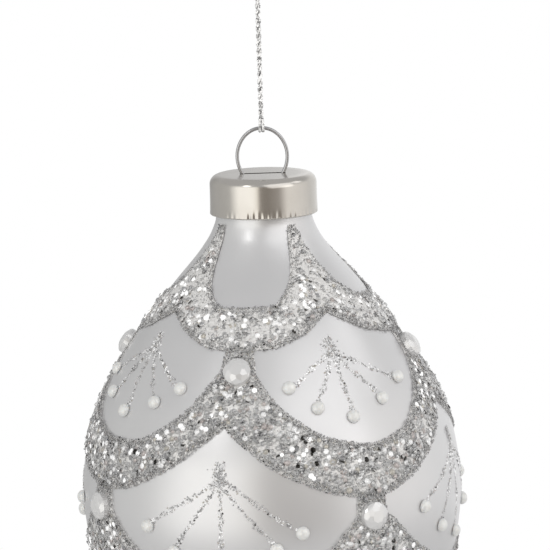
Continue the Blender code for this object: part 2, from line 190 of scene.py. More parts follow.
def new_finish(name, colour, roughness, metallic=0.0, **values):
    """(material, its Principled shader, a function that adds a node to it)."""
    finish = bpy.data.materials.new(name)
    finish.use_nodes = True
    shader = finish.node_tree.nodes["Principled BSDF"]
    values.update(Base_Color=(*colour, 1.0), Roughness=roughness, Metallic=metallic)
    set_sockets(shader, values)
    return finish, shader, adder(finish.node_tree)


def blend_colours(add, factor, first, second, low=0.0, high=1.0):
    """A colour ramp from one colour to another as the factor goes from low to high."""
    ramp = add("ValToRGB", (factor, "Fac"))
    ramp.color_ramp.elements[0].position = low
    ramp.color_ramp.elements[0].color = (*first, 1.0)
    ramp.color_ramp.elements[1].position = high
    ramp.color_ramp.elements[1].color = (*second, 1.0)
    return ramp


def link(node, output, target, socket):
    node.id_data.links.new(node.outputs[output], target.inputs[socket])


def pearl_lacquer():
    finish, shader, add = new_finish(
        "pearl_lacquer", LACQUER, 0.33, 0.62, Coat_Weight=0.12, Coat_Roughness=0.35
    )
    place = add("TexCoord").outputs["Object"]
    clouds = add("TexNoise", (place, "Vector"), Scale=38.0, Detail=3.0, Roughness=0.5)
    ramp = blend_colours(add, clouds.outputs["Fac"], LACQUER_SHADE, LACQUER, 0.35, 0.6)
    link(ramp, "Color", shader, "Base Color")
    mist = add("TexNoise", (place, "Vector"), Scale=2600.0, Detail=2.0)
    gloss = add("MapRange", (mist.outputs["Fac"], "Value"), To_Min=0.30, To_Max=0.36)
    link(gloss, "Result", shader, "Roughness")
    peel = add("TexNoise", (place, "Vector"), Scale=1500.0, Detail=1.0)
    bump = add("Bump", (peel.outputs["Fac"], "Height"), Strength=0.12, Distance=0.00004)
    link(bump, "Normal", shader, "Normal")
    return finish


def glass_profile():
    """The drop's section: up inside from the tip to the rim, over the rounded rim, and down outside."""
    neck_depths = np.linspace(NECK_DEPTH, 0.030, 30)
    body_depths = np.linspace(0.031, TIP_DEPTH - 0.0005, 110)
    inner_depths = np.linspace(TIP_DEPTH - 0.012, NECK_DEPTH, 40)
    inside = on_glass(math.pi / 2, inner_depths, -GLASS_WALL)[0]
    profile = [(0.0, inside[0][2] - 0.0015), (inside[0][0] * 0.7, inside[0][2] - 0.0008)]
    profile += [(point[0], point[2]) for point in inside]
    middle = NECK_RADIUS - GLASS_WALL + GLASS_WALL / 2
    for over in (math.pi, math.pi / 2, 0.0):
        radius = middle + GLASS_WALL / 2 * math.cos(over)
        profile.append((radius, RIM_Z - RIM_ROUND + RIM_ROUND * math.sin(over)))
    profile += [(radius_at(depth), CAP_TOP - depth) for depth in (*neck_depths, *body_depths)]
    for angle in np.radians(np.linspace(8, 82, 8)):
        profile.append((TIP_RADIUS * math.cos(angle), TIP_Z + TIP_RADIUS * (1 - math.sin(angle))))
    return profile + [(0.0, TIP_Z)]


drop = turn("glass_drop", glass_profile(), 144)
smooth_shade(drop)
drop.data.materials.append(pearl_lacquer())
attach(drop, "glass")
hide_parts("glass_body")

# --------------------------------------------------------------------------------
# The garlands. Rows of scallops drawn on the glass in clear glue: a wide field dusted with coarse cut flakes,
# between two lines of fine glitter. Each lower row hangs its peaks from the bottoms of the row above.

SCALLOPS = 4
HALF_PITCH = math.pi / SCALLOPS
FIRST_ANGLE = math.radians(-12.0)
ROW_DRIFT = math.radians(-3.0)
BAND_BOTTOMS = (0.0353, 0.0660, 0.0965, 0.1235, 0.1475, 0.1685)
BAND_DEPTHS = (0.0084, 0.0113, 0.0110, 0.0100, 0.0090, 0.0080)
VALLEY_RISES = (0.0070, 0.0162, 0.0150, 0.0130, 0.0115, 0.0100)
FIRST_PANEL_CURVE = 3.2
PANEL_CURVE = 2.2
VALLEY_CURVE = 1.7
HAND_WAVES = ((0.00022, 9, 2.1), (0.00014, 23, 1.0))
PEAK_LAP = 0.0008
TOP_POINT_DEPTH = 0.0105
TOP_POINT_SIDE = 0.0014
TOP_POINT_HALF_WIDTH = 0.0013
STEM_HALF_WIDTH = 0.0039
GEM_RADIUS = 0.0030
GEM_DROP = 0.0039
LINE_WIDTH = 0.0016
GLUE_LIFT = 0.00035
GLUE_EDGE_LIFT = 0.00012
GLUE_WALL = 0.0001
BED_PER_MM2 = 1.7
TOP_PER_MM2 = 0.85
FINE_PER_MM2 = 13.0
DUST_PER_MM2 = 0.9
FLAKE_RADIUS = 0.00057
SPECK_RADIUS = 0.00021
BARE_ROUND_GEM = 0.0009
SILVER = (0.90, 0.90, 0.905)
FLAKE_TINTS = (
    (0.0, (0.06, 0.055, 0.05)),
    (0.018, (0.55, 0.55, 0.56)),
    (0.10, (0.80, 0.80, 0.81)),
    (0.25, (0.95, 0.95, 0.955)),
    (0.92, (0.90, 0.83, 0.81)),
    (0.965, (0.90, 0.86, 0.78)),
)
FLAT_SILVERING = 0.34
# Painted glints: the tints whose flakes glow, and how strongly they glow in dim and in bright patches.
PAINTED_GLINT_TINTS = (0.56, 0.90)
DIM_PAINTED_GLINT = 0.25
BRIGHT_PAINTED_GLINT = 1.75


def row_angle(row):
    """The angle of a row's first bottom. The second and lower rows run a little past their even place."""
    return FIRST_ANGLE + (ROW_DRIFT if row else 0.0) + row % 2 * HALF_PITCH


def crown_angle(row):
    """The angle half way between two peaks of a row, whose peaks meet the bottoms of the row above."""
    return FIRST_ANGLE + (ROW_DRIFT if row > 1 else 0.0) + row % 2 * HALF_PITCH


def band_edges(row, angle):
    """(upper, lower) depth of a garland at these angles, with the small waver of a line drawn by hand."""
    away, from_bottom = (
        np.abs((angle - middle + HALF_PITCH) % (2 * HALF_PITCH) - HALF_PITCH)
        for middle in (crown_angle(row), row_angle(row))
    )
    bottom = BAND_BOTTOMS[row]
    panel = bottom - BAND_DEPTHS[row]
    top = TOP_POINT_DEPTH if row == 0 else BAND_BOTTOMS[row - 1] - PEAK_LAP
    side = TOP_POINT_DEPTH + TOP_POINT_SIDE if row == 0 else BAND_BOTTOMS[row - 1] + GEM_DROP
    half_width = TOP_POINT_HALF_WIDTH if row == 0 else STEM_HALF_WIDTH
    power = FIRST_PANEL_CURVE if row == 0 else PANEL_CURVE
    stem = HALF_PITCH - half_width / radius_at(side)
    curve = panel - (panel - side) * (away / stem) ** power
    corner = stem + 0.35 * (HALF_PITCH - stem) if row == 0 else stem + 0.0006 / radius_at(side)
    climb = np.clip((away - stem) / (corner - stem), 0, 1)
    upper = np.where(away < stem, curve, side + (top - side) * climb)
    lower = bottom - VALLEY_RISES[row] * (from_bottom / HALF_PITCH) ** VALLEY_CURVE
    waver = sum(size * np.sin(count * angle + shift * row) for size, count, shift in HAND_WAVES)
    return np.where(away < stem, upper + waver, upper), lower + 0.8 * waver


def scattered(rng, per_mm2, low, high):
    """(angles, depths) spread evenly over the glass between two depths."""
    depths = np.linspace(low, high, 400)
    rise = np.interp(depths, OUTLINE_DEPTHS, OUTLINE_RISES)
    ring = 2 * math.pi * radius_at(depths) * np.hypot(1, rise)
    area = np.concatenate(([0.0], np.cumsum((ring[1:] + ring[:-1]) / 2 * np.diff(depths))))
    count = int(area[-1] * 1e6 * per_mm2)
    return rng.uniform(-math.pi, math.pi, count), np.interp(rng.uniform(0, area[-1], count), area, depths)


def nearest(points, targets):
    """The distance from each point to the nearest target."""
    tree = kdtree.KDTree(len(targets))
    for index, target in enumerate(targets):
        tree.insert(target, index)
    tree.balance()
    return np.array([tree.find(point)[2] for point in points])


def edge_points(row):
    """Points close together along both edges of a garland, with more up the steep sides of its peaks."""
    angles = np.linspace(-math.pi, math.pi, 2600)
    upper, lower = band_edges(row, angles)
    steep = np.flatnonzero(np.abs(np.diff(upper)) > 0.0002)
    rungs = [np.linspace(upper[i], upper[i + 1], 12) for i in steep]
    turns = [np.full(12, angles[i]) for i in steep]
    all_angles = np.concatenate([angles, angles, *turns])
    return on_glass(all_angles, np.concatenate([upper, lower, *rungs]))[0]


def put(name, data):
    """Puts a new object that holds this mesh, lamp or camera into the scene."""
    piece = bpy.data.objects.new(name, data)
    bpy.context.scene.collection.objects.link(piece)
    return piece


def grains(name, rng, places, normals, radius, corners, tilt, flat):
    """Cut flakes as one mesh. Each is a flat face of this many corners, closed by a point down in the glue.

    A share of them, those of the highest tints, lies flat on the glass and the rest lean every way."""
    count = len(places)
    tints = rng.uniform(0, 1, count)
    lean = np.where(tints > 1 - flat, 0.07, tilt)
    leaning = normals + rng.normal(0, 1, (count, 3)) * lean[:, None]
    leaning /= np.linalg.norm(leaning, axis=1, keepdims=True)
    side = np.cross(leaning, rng.normal(0, 1, (count, 3)))
    side /= np.linalg.norm(side, axis=1, keepdims=True)
    other = np.cross(leaning, side)
    sizes = radius * rng.uniform(0.75, 1.2, count)[:, None, None]
    turns = np.arange(corners) * 2 * math.pi / corners
    rim = places[:, None] + sizes * (
        np.cos(turns)[None, :, None] * side[:, None] + np.sin(turns)[None, :, None] * other[:, None]
    )
    point = places - leaning * radius * 0.3
    vertices = np.concatenate([rim, point[:, None]], 1).reshape(-1, 3)
    first = np.arange(count)[:, None] * (corners + 1)
    face = first + np.arange(corners)
    after = first + (np.arange(corners) + 1) % corners
    walls = np.stack([after, face, np.broadcast_to(first + corners, face.shape)], -1).reshape(count, -1)
    loops = np.concatenate([face, walls], 1).ravel()
    lengths = np.tile([corners] + [3] * corners, count)
    mesh = bpy.data.meshes.new(name)
    mesh.vertices.add(len(vertices))
    mesh.vertices.foreach_set("co", vertices.astype(np.float32).ravel())
    mesh.loops.add(len(loops))
    mesh.loops.foreach_set("vertex_index", loops.astype(np.int32))
    mesh.polygons.add(len(lengths))
    mesh.polygons.foreach_set("loop_start", (np.cumsum(lengths) - lengths).astype(np.int32))
    mesh.polygons.foreach_set("loop_total", lengths.astype(np.int32))
    mesh.update(calc_edges=True)
    tint = mesh.attributes.new("tint", "FLOAT", "FACE")
    tint.data.foreach_set("value", np.repeat(tints, corners + 1).astype(np.float32))
    return put(name, mesh)


def flake_finish(name, roughness, flat, mirror, gain, painted_glint=0.0):
    """Cut metallised film. The leaning flakes are bright, the flat ones pearly, a few warm, pink or black.

    A painted glint makes the flakes of some tints glow as if they caught the light, brighter in some patches
    than others."""
    finish, shader, add = new_finish(name, SILVER, roughness)
    tint = add("Attribute")
    tint.attribute_name = "tint"
    ramp = add("ValToRGB", (tint.outputs["Fac"], "Fac"))
    ramp.color_ramp.interpolation = "CONSTANT"
    elements = ramp.color_ramp.elements
    for place, (position, colour) in enumerate(FLAKE_TINTS):
        element = elements[place] if place < len(elements) else elements.new(position)
        element.position = position
        element.color = (*(min(part * gain, 1.0) for part in colour), 1.0)
    link(ramp, "Color", shader, "Base Color")
    lies_flat = add("Math", (tint.outputs["Fac"], 0))
    lies_flat.operation = "GREATER_THAN"
    lies_flat.inputs[1].default_value = 1 - flat
    silvering = add("MapRange", (lies_flat.outputs[0], "Value"), To_Min=mirror, To_Max=FLAT_SILVERING)
    link(silvering, "Result", shader, "Metallic")
    # Painted glints: flakes of some tints glow through emission, brighter in some noise patches than others.
    if painted_glint:
        painted_glint_colour = add("ValToRGB", (tint.outputs["Fac"], "Fac"))
        painted_glint_colour.color_ramp.interpolation = "CONSTANT"
        painted_glint_colour.color_ramp.elements[1].position = PAINTED_GLINT_TINTS[0]
        painted_glint_colour.color_ramp.elements.new(PAINTED_GLINT_TINTS[1]).color = (0.0, 0.0, 0.0, 1.0)
        link(painted_glint_colour, "Color", shader, "Emission Color")
        place = add("TexCoord").outputs["Object"]
        painted_glint_patches = add("TexNoise", (place, "Vector"), Scale=110.0, Detail=2.0)
        painted_glint_level = add("MapRange", (painted_glint_patches.outputs["Fac"], "Value"), From_Min=0.38, From_Max=0.62)
        set_sockets(painted_glint_level, {"To Min": DIM_PAINTED_GLINT * painted_glint, "To Max": BRIGHT_PAINTED_GLINT * painted_glint})
        link(painted_glint_level, "Result", shader, "Emission Strength")
    return finish


def glue_finish():
    """Clear glue full of the finest glitter dust: pale grey and grainy."""
    finish, shader, add = new_finish("glitter_glue", (0.7, 0.7, 0.71), 0.35, 0.2)
    place = add("TexCoord").outputs["Object"]
    cells = add("TexVoronoi", (place, "Vector"), Scale=3200.0)
    ramp = blend_colours(add, cells.outputs["Color"], (0.66, 0.655, 0.65), (0.90, 0.895, 0.89), 0.1, 0.8)
    link(ramp, "Color", shader, "Base Color")
    bump = add("Bump", (cells.outputs["Color"], "Height"), Strength=0.6, Distance=0.00006)
    link(bump, "Normal", shader, "Normal")
    return finish


def glue_band(row):
    """The line of glue under one garland: a thin skin bent round the glass, thinner at its edges."""
    deselect()
    bpy.ops.mesh.primitive_grid_add(x_subdivisions=480, y_subdivisions=9, size=2.0)
    piece = bpy.context.object
    piece.name = f"garland_{row + 1}_glue"
    flat = np.empty(len(piece.data.vertices) * 3, np.float32)
    piece.data.vertices.foreach_get("co", flat)
    flat = flat.reshape(-1, 3).astype(float)
    angle = flat[:, 0] * math.pi
    upper, lower = band_edges(row, angle)
    share = (1 - flat[:, 1]) / 2
    crown = np.clip(1 - np.abs(2 * share - 1) ** 4, 0, 1)
    lift = GLUE_EDGE_LIFT + (GLUE_LIFT - GLUE_EDGE_LIFT) * crown
    places = on_glass(angle, upper + (lower - upper) * share, lift)[0]
    piece.data.vertices.foreach_set("co", places.astype(np.float32).ravel())
    open_edit(piece)
    close_edit(1e-6)
    wall = piece.modifiers.new("glue", "SOLIDIFY")
    wall.thickness = GLUE_WALL
    wall.offset = -1.0
    bpy.ops.object.modifier_apply(modifier=wall.name)
    smooth_shade(piece, 60.0)
    return piece


def gem_seats(row):
    """(angle, depth) of the middle of each stone on a row, which the first row has none of."""
    if row == 0:
        return []
    depth = BAND_BOTTOMS[row - 1] + GEM_DROP
    return [(crown_angle(row) + (2 * place + 1) * HALF_PITCH, depth) for place in range(SCALLOPS)]


def drift(row, angles, depths):
    """How thickly the top flakes lie: they fell unevenly, so some places are nearly bare."""
    return np.sin(6.3 * angles + 1.7 * row) * np.sin(depths * 520 + 2.0 * angles) + np.sin(17 * angles)


def garland(row, glue_look, bed_look, top_look, fine_look):
    rng = np.random.default_rng(100 + row)
    glue = glue_band(row)
    glue.data.materials.append(glue_look)
    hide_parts(f"glitter_band_{row + 1}")
    edges = edge_points(row)
    far_away = np.full(3, 9.0)
    stones = [on_glass(angle, depth)[0] for angle, depth in gem_seats(row)] or [far_away]
    top = TOP_POINT_DEPTH if row == 0 else BAND_BOTTOMS[row - 1] - 0.0012
    pieces = [glue]
    kinds = (
        ("bed", BED_PER_MM2, FLAKE_RADIUS, 6, 0.22, 0.7, bed_look, (0.00036, 0.00046)),
        ("top", TOP_PER_MM2, FLAKE_RADIUS * 1.02, 6, 0.42, 0.5, top_look, (0.00054, 0.00070)),
        ("fine", FINE_PER_MM2, SPECK_RADIUS, 4, 0.42, 0.4, fine_look, (0.00026, 0.00052)),
    )
    for kind, density, radius, corners, tilt, flat, look, lifts in kinds:
        angles, depths = scattered(rng, density, top, BAND_BOTTOMS[row] + 0.0006)
        upper, lower = band_edges(row, angles)
        spill = 0.00022 if kind == "fine" else 0.0
        within = (depths > upper - spill) & (depths < lower + spill)
        angles, depths = angles[within], depths[within]
        places, normals = on_glass(angles, depths, rng.uniform(*lifts, len(angles)))
        to_edge = nearest(places, edges)
        to_stone = nearest(places, stones)
        if kind != "fine":
            keep = (to_edge > LINE_WIDTH * 0.8) & (to_stone > GEM_RADIUS + BARE_ROUND_GEM)
            if kind == "top":
                keep &= rng.uniform(0, 1, len(places)) < 0.62 + 0.3 * drift(row, angles, depths)
        else:
            line = (to_edge < LINE_WIDTH) | (to_stone < GEM_RADIUS + BARE_ROUND_GEM + 0.0002)
            dust = rng.uniform(0, 1, len(places)) < DUST_PER_MM2 / density
            keep = (line | dust) & (to_stone > GEM_RADIUS - 0.0001)
        name = f"garland_{row + 1}_{kind}"
        piece = grains(name, rng, places[keep], normals[keep], radius, corners, tilt, flat)
        piece.data.materials.append(look)
        pieces.append(piece)
    for piece in pieces:
        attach(piece, "glass")


glue_look = glue_finish()
bed_look = flake_finish("bed_flakes", 0.3, 0.7, 0.22, 1.06)
top_look = flake_finish("top_flakes", 0.16, 0.5, 0.9, 1.1, 0.40)
fine_look = flake_finish("fine_glitter", 0.25, 0.4, 0.8, 0.95)
for row in range(len(BAND_BOTTOMS)):
    garland(row, glue_look, bed_look, top_look, fine_look)

# --------------------------------------------------------------------------------
# The stones. Round flat-backed stones of clear acrylic with a silvery backing, cut with rings of facets round
# a small table. One is glued on each peak of the second and lower rows.

GEM_HEIGHT = 0.0023
GEM_SEAT = 0.0003
GIRDLE_HIGH = 0.0011


def cut_facets(steepness, height, count, offset):
    """Grinds a ring of flat facets on the stone being edited. Each leans this far from level."""
    for place in range(count):
        angle = 2 * math.pi * (place + offset) / count
        lean = math.radians(steepness)
        away = Vector((math.sin(lean) * math.cos(angle), math.sin(lean) * math.sin(angle), math.cos(lean)))
        on_plane = Vector((GEM_RADIUS * math.cos(angle), GEM_RADIUS * math.sin(angle), height))
        bpy.ops.mesh.select_all(action="SELECT")
        bpy.ops.mesh.bisect(plane_co=on_plane, plane_no=away, use_fill=True, clear_outer=True)


def cut_stone():
    deselect()
    middle = (0, 0, GEM_HEIGHT / 2)
    bpy.ops.mesh.primitive_cylinder_add(vertices=32, radius=GEM_RADIUS, depth=GEM_HEIGHT, location=middle)
    stone = bpy.context.object
    bpy.ops.object.transform_apply(location=True)
    open_edit(stone)
    cut_facets(42.0, GIRDLE_HIGH + 0.0001, 8, 0.0)
    cut_facets(56.0, GIRDLE_HIGH, 16, 0.5)
    cut_facets(22.0, GIRDLE_HIGH + 0.0005, 8, 0.5)
    close_edit(2e-6)
    return stone


def crystal_finish():
    finish, shader, add = new_finish(
        "clear_acrylic", (0.88, 0.88, 0.885), 0.03, 0.3, Transmission_Weight=0.2, IOR=1.52
    )
    place = add("TexCoord").outputs["Object"]
    wear = add("TexNoise", (place, "Vector"), Scale=1800.0, Detail=2.0)
    gloss = add("MapRange", (wear.outputs["Fac"], "Value"), To_Min=0.02, To_Max=0.12)
    link(gloss, "Result", shader, "Roughness")
    return finish


def upright(normal):
    """The turn that stands +Z along a normal."""
    return Vector(normal).to_track_quat("Z", "Y").to_matrix().to_4x4()


stone = cut_stone()
stone.data.materials.append(crystal_finish())
for row in range(1, len(BAND_BOTTOMS)):
    for place, (angle, depth) in enumerate(gem_seats(row)):
        seat, normal = on_glass(angle, depth, GEM_SEAT)
        copy = put(f"stone_{row + 1}_{place + 1}", stone.data.copy())
        spin = Matrix.Rotation(0.7 * row + 1.9 * place, 4, "Z")
        copy.data.transform(Matrix.Translation(seat) @ upright(normal) @ spin)
        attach(copy, "glass")
        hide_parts(f"gem_{row + 1}_{place + 1}")
bpy.data.objects.remove(stone)

# --------------------------------------------------------------------------------
# The sprigs. In each panel five lines of fine glitter, laid on clear glue, fan down from a short stalk. Each
# of them runs into a flat-backed stone of milky pearl.

SPRIG_DROPS = (0.0077, 0.0108, 0.0092, 0.0080)
SPRIG_LENGTHS = (0.0152, 0.0195, 0.0158, 0.0134)
RAY_ANGLES = tuple(math.radians(angle) for angle in (-60.0, -35.0, 0.0, 35.0, 60.0))
RAY_SHARES = (1.06, 0.98, 1.0, 0.98, 1.06)
RAY_FOLLOWS = (0.4, 0.8, 1.2, 0.8, 0.4)
HUB_SHIFTS = {(0, 0): -0.0025, (1, 0): -0.0008, (1, 3): -0.0004}
RAY_HALF_WIDTH = 0.0007
RAY_GRAINS_PER_MM2 = 5
STALK_GRAINS = 170
STALK_TOP = 0.0040
STALK_FOOT = 0.0012
STALK_SPREAD = 0.0010
PEARL_RADIUS = 0.0015
PEARL_FLATNESS = 0.85


def joined(name, pieces):
    """Several pieces made one object."""
    deselect()
    for piece in pieces:
        piece.select_set(True)
    bpy.context.view_layer.objects.active = pieces[0]
    bpy.ops.object.join()
    bpy.context.object.name = name
    return bpy.context.object


def pearl_shape():
    """A domed stone with a few soft facets round a small table."""
    deselect()
    bpy.ops.mesh.primitive_uv_sphere_add(segments=24, ring_count=14, radius=PEARL_RADIUS)
    pearl = bpy.context.object
    open_edit(pearl)
    for lean, count in ((0.0, 1), (38.0, 6), (68.0, 8)):
        for place in range(count):
            angle = 2 * math.pi * (place + lean / 90) / count
            tip = math.radians(lean)
            away = Vector((math.sin(tip) * math.cos(angle), math.sin(tip) * math.sin(angle), math.cos(tip)))
            bpy.ops.mesh.select_all(action="SELECT")
            bpy.ops.mesh.bisect(plane_co=away * PEARL_RADIUS * 0.95, plane_no=away, clear_outer=True)
    bpy.ops.mesh.select_all(action="SELECT")
    bpy.ops.mesh.bisect(plane_co=(0, 0, -0.0002), plane_no=(0, 0, -1), clear_outer=True)
    bpy.ops.mesh.select_all(action="SELECT")
    bpy.ops.mesh.remove_doubles(threshold=4e-6)
    bpy.ops.mesh.convex_hull()
    bpy.ops.mesh.select_all(action="SELECT")
    bpy.ops.mesh.normals_make_consistent(inside=False)
    bpy.ops.transform.resize(value=(1.0, 1.0, PEARL_FLATNESS))
    bpy.ops.object.mode_set(mode="OBJECT")
    smooth_shade(pearl, 12.0)
    return pearl


def pearl_finish():
    finish, shader, add = new_finish(
        "white_pearl",
        (0.82, 0.825, 0.82),
        0.38,
        0.25,
        Subsurface_Weight=0.6,
        Subsurface_Scale=1.0,
        Subsurface_Radius=(0.0012, 0.0011, 0.001),
        Coat_Weight=0.25,
        Coat_Roughness=0.15,
        Emission_Strength=0.05,
    )
    place = add("TexCoord").outputs["Object"]
    swirl = add("TexNoise", (place, "Vector"), Scale=900.0, Detail=3.0, Distortion=1.5)
    ramp = blend_colours(add, swirl.outputs["Fac"], (0.74, 0.745, 0.735), (0.82, 0.825, 0.815), 0.35, 0.65)
    link(ramp, "Color", shader, "Base Color")
    # The pearl glows faintly in its own colour: painted light.
    link(ramp, "Color", shader, "Emission Color")
    return finish


def down_glass(start, distance):
    """The depth reached by going this far down along the glass from a depth."""
    run = np.concatenate(([0.0], np.cumsum(np.hypot(1, OUTLINE_RISES[:-1]) * np.diff(OUTLINE_DEPTHS))))
    return np.interp(np.interp(start, OUTLINE_DEPTHS, run) + distance, run, OUTLINE_DEPTHS)


def sprig(row, place, shape, looks):
    rng = np.random.default_rng(300 + 10 * row + place)
    middle = row_angle(row) + (2 * place + 1) * HALF_PITCH
    hub_depth = BAND_BOTTOMS[row] - VALLEY_RISES[row] + SPRIG_DROPS[row]

    def drape(across, down, lift):
        depth = down_glass(hub_depth, down)
        return on_glass(middle + across / radius_at(depth), depth, lift)

    shift = HUB_SHIFTS.get((row, place), rng.normal(0, 0.0007))
    pearls, spots = [], []
    for angle, share, follow in zip(RAY_ANGLES, RAY_SHARES, RAY_FOLLOWS):
        angle += rng.normal(0, 0.035)
        length = SPRIG_LENGTHS[row] * share * rng.uniform(0.97, 1.03)
        start = np.array((shift, -0.0006 + 0.0012 * rng.uniform()))
        end = np.array((follow * shift + math.sin(angle) * length, math.cos(angle) * length))
        along = end - start
        reach = math.hypot(*along)
        aside = np.array((-along[1], along[0])) / reach
        count = int(reach * 2 * RAY_HALF_WIDTH * 1e6 * RAY_GRAINS_PER_MM2)
        where = rng.uniform(0, 1 - 0.8 * PEARL_RADIUS / reach, count)
        sway = 0.0004 * np.sin(where * 5 + rng.uniform(0, 6)) * where
        spread = rng.uniform(-1, 1, count) * RAY_HALF_WIDTH
        waist = 0.7 + 0.3 * np.sin(where * 21 + rng.uniform(0, 6))
        spots.append(start + where[:, None] * along + (spread * waist + sway)[:, None] * aside)
        seat, normal = drape(end[0], end[1], 0.0002)
        pearl = put("pearl", shape.data.copy())
        turn_angle = Matrix.Rotation(rng.uniform(0, 6), 4, "Z")
        pearl.data.transform(Matrix.Translation(seat) @ upright(normal) @ turn_angle)
        pearls.append(pearl)
    up = rng.uniform(0, 1, STALK_GRAINS) ** 1.3
    across = shift + rng.normal(0, STALK_SPREAD, STALK_GRAINS) * (1 - 0.4 * up)
    spots.append(np.stack([across, STALK_FOOT - (STALK_FOOT + STALK_TOP) * up], 1))
    spots = np.concatenate(spots)
    places, normals = drape(spots[:, 0], spots[:, 1], rng.uniform(0.00004, 0.00014, len(spots)))
    name = f"sprig_{row + 1}_{place + 1}"
    dust = grains(name + "_glitter", rng, places, normals, SPECK_RADIUS * 1.05, 4, 0.40, 0.6)
    beads = joined(name + "_pearls", pearls)
    for piece, look in zip((dust, beads), looks):
        piece.data.materials.clear()
        piece.data.materials.append(look)
        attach(piece, "glass")
    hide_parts(name)


pearl = pearl_shape()
ray_look = flake_finish("ray_glitter", 0.3, 0.6, 0.3, 1.08, 0.32)
pearl_look = pearl_finish()
for row in range(len(SPRIG_DROPS)):
    for place in range(SCALLOPS):
        sprig(row, place, pearl, (ray_look, pearl_look))
bpy.data.objects.remove(pearl)

# --------------------------------------------------------------------------------
# The cap. Thin sheet metal pressed into a cup, plated a warm champagne nickel, with a slot in its top and a
# ring of fine crimps where the skirt was drawn in round the neck.

CAP_RADIUS = 0.0120
CAP_WALL = 0.0005
CAP_EDGE_RADIUS = 0.0021
CRIMPS = 58
CRIMP_HEIGHT = 0.0025
CRIMP_DEPTH = 0.00028
SKIRT_FLARE = 0.00012
SLOT_LENGTH = 0.0104
SLOT_WIDTH = 0.0014


def cap_profile():
    bottom = CAP_TOP - CAP_HEIGHT
    outer, inner = [(0.0, CAP_TOP)], [(0.0, CAP_TOP - CAP_WALL)]
    outer.append((CAP_RADIUS - CAP_EDGE_RADIUS - 0.002, CAP_TOP))
    centre = CAP_RADIUS - CAP_EDGE_RADIUS
    shoulder = CAP_TOP - CAP_EDGE_RADIUS
    for angle in np.radians(np.linspace(0, 90, 10)):
        for line, radius in ((outer, CAP_EDGE_RADIUS), (inner, CAP_EDGE_RADIUS - CAP_WALL)):
            line.append((centre + radius * math.sin(angle), shoulder + radius * math.cos(angle)))
    for share in np.linspace(0.2, 0.95, 14):
        height = shoulder + (bottom + CAP_EDGE_RADIUS - CAP_TOP) * share
        outer.append((CAP_RADIUS + SKIRT_FLARE * share**3, height))
        inner.append((CAP_RADIUS - CAP_WALL + SKIRT_FLARE * share**3, height))
    lip = CAP_RADIUS + SKIRT_FLARE
    outer += [(lip, bottom + 0.00015), (lip - 0.0001, bottom), (lip - CAP_WALL + 0.0001, bottom)]
    return outer + inner[::-1]


def nickel_finish():
    finish, shader, add = new_finish("champagne_nickel", (0.57, 0.545, 0.51), 0.22, 1.0)
    place = add("TexCoord").outputs["Object"]
    tone = add("TexNoise", (place, "Vector"), Scale=120.0, Detail=3.0)
    ramp = blend_colours(add, tone.outputs["Fac"], (0.555, 0.53, 0.495), (0.60, 0.575, 0.54), 0.35, 0.65)
    link(ramp, "Color", shader, "Base Color")
    grain = add("TexNoise", (place, "Vector"), Scale=1400.0, Detail=3.0)
    gloss = add("MapRange", (grain.outputs["Fac"], "Value"), To_Min=0.15, To_Max=0.21)
    link(gloss, "Result", shader, "Roughness")
    bump = add("Bump", (grain.outputs["Fac"], "Height"), Strength=0.03, Distance=0.00001)
    link(bump, "Normal", shader, "Normal")
    return finish


def slot_cutter():
    deselect()
    bpy.ops.mesh.primitive_cube_add(size=1.0, location=(0, 0, CAP_TOP))
    cutter = bpy.context.object
    cutter.scale = (SLOT_LENGTH, SLOT_WIDTH, 0.004)
    bpy.ops.object.transform_apply(location=True, scale=True)
    open_edit(cutter)
    bpy.ops.mesh.select_all(action="DESELECT")
    bpy.ops.object.mode_set(mode="OBJECT")
    for edge in cutter.data.edges:
        start, end = (cutter.data.vertices[corner].co for corner in edge.vertices)
        edge.select = abs(start.z - end.z) > 0.001
    bpy.ops.object.mode_set(mode="EDIT")
    bpy.ops.mesh.select_mode(type="EDGE")
    bpy.ops.mesh.bevel(offset=SLOT_WIDTH * 0.48, segments=5)
    bpy.ops.mesh.select_mode(type="VERT")
    bpy.ops.object.mode_set(mode="OBJECT")
    return cutter


def crimp_skirt(cap):
    """Draws the skirt in at a ring of crimps, each of its own depth and deepest at the lip."""
    strengths = np.random.default_rng(40).uniform(0.15, 1.0, CRIMPS)
    for vertex in cap.data.vertices:
        low = min(max((CAP_TOP - CAP_HEIGHT + CRIMP_HEIGHT - vertex.co.z) / CRIMP_HEIGHT, 0.0), 1.0)
        angle = math.atan2(vertex.co.x, -vertex.co.y)
        crimp = (angle / (2 * math.pi) % 1) * CRIMPS
        strength = strengths[int(crimp) % CRIMPS]
        ripple = strength * math.sin(math.pi * (crimp % 1)) ** 2
        fade = max(low - 0.6 * (1 - strength), 0.0) ** 1.2
        squeeze = -CRIMP_DEPTH * fade * ripple / math.hypot(vertex.co.x, vertex.co.y, 1e-9)
        if low > 0:
            vertex.co.x *= 1 + squeeze
            vertex.co.y *= 1 + squeeze


cap = turn("metal_cap", cap_profile(), CRIMPS * 8)
crimp_skirt(cap)
cutter = slot_cutter()
cut = cap.modifiers.new("slot", "BOOLEAN")
cut.operation = "DIFFERENCE"
cut.object = cutter
take(cap)
bpy.ops.object.modifier_apply(modifier=cut.name)
bpy.data.objects.remove(cutter)
smooth_shade(cap, 40.0)
cap.data.materials.clear()
cap.data.materials.append(nickel_finish())
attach(cap, "hanger")
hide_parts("cap")

# --------------------------------------------------------------------------------
# The hanger. One length of bright spring wire, bent to an oval ring, whose ends pass down through the slot
# and press outwards on the bore of the neck.

